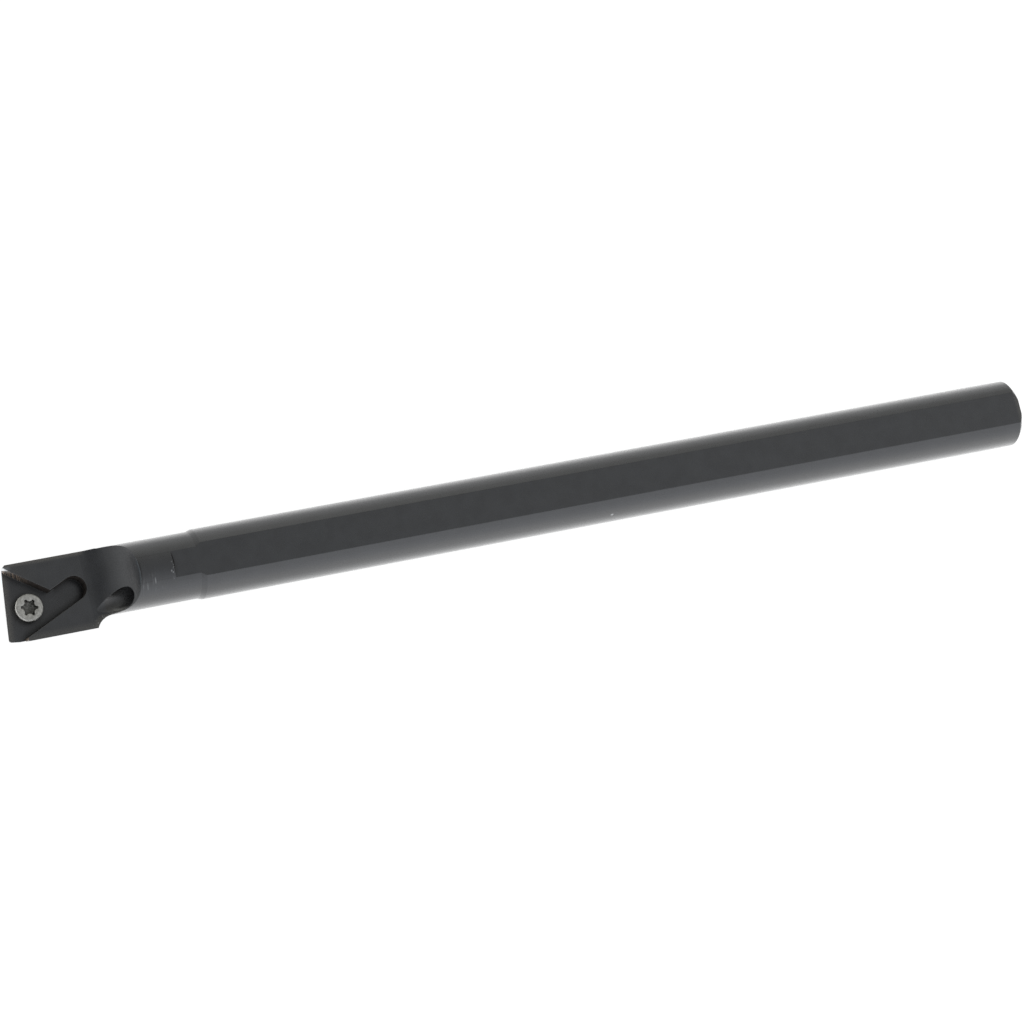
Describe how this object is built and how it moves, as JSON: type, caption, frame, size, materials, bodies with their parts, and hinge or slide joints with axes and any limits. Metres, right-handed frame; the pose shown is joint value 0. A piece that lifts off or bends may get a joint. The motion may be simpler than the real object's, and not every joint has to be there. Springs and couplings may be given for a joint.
{
  "type": "boring bar",
  "caption": "Round steel bar with a clamping flat, a milled head with an empty triangular insert seat and its clamp screw, for boring holes on a lathe.",
  "frame": {"origin": "on the shank's axis, in the plane of the rear end", "axes": "+X along the bar from its rear end to the cutting head, +Y to the cutting side, +Z out of the clamping flat; the cutting edge of the insert that the seat is made for lies at z = 0"},
  "size_m": [0.1519, 0.0107, 0.0094],
  "materials": {
    "bar_steel": "black oxide",
    "screw_steel": "satin"
  },
  "bodies": {
    "bar": {"bar": "bar_steel"},
    "screw": {"insert_screw": "screw_steel"}
  },
  "joints": [
    {"name": "screw_out", "type": "slide", "parent": "bar", "child": "screw", "axis": [0, 0, 1], "range_m": [0, 0.005]}
  ]
}
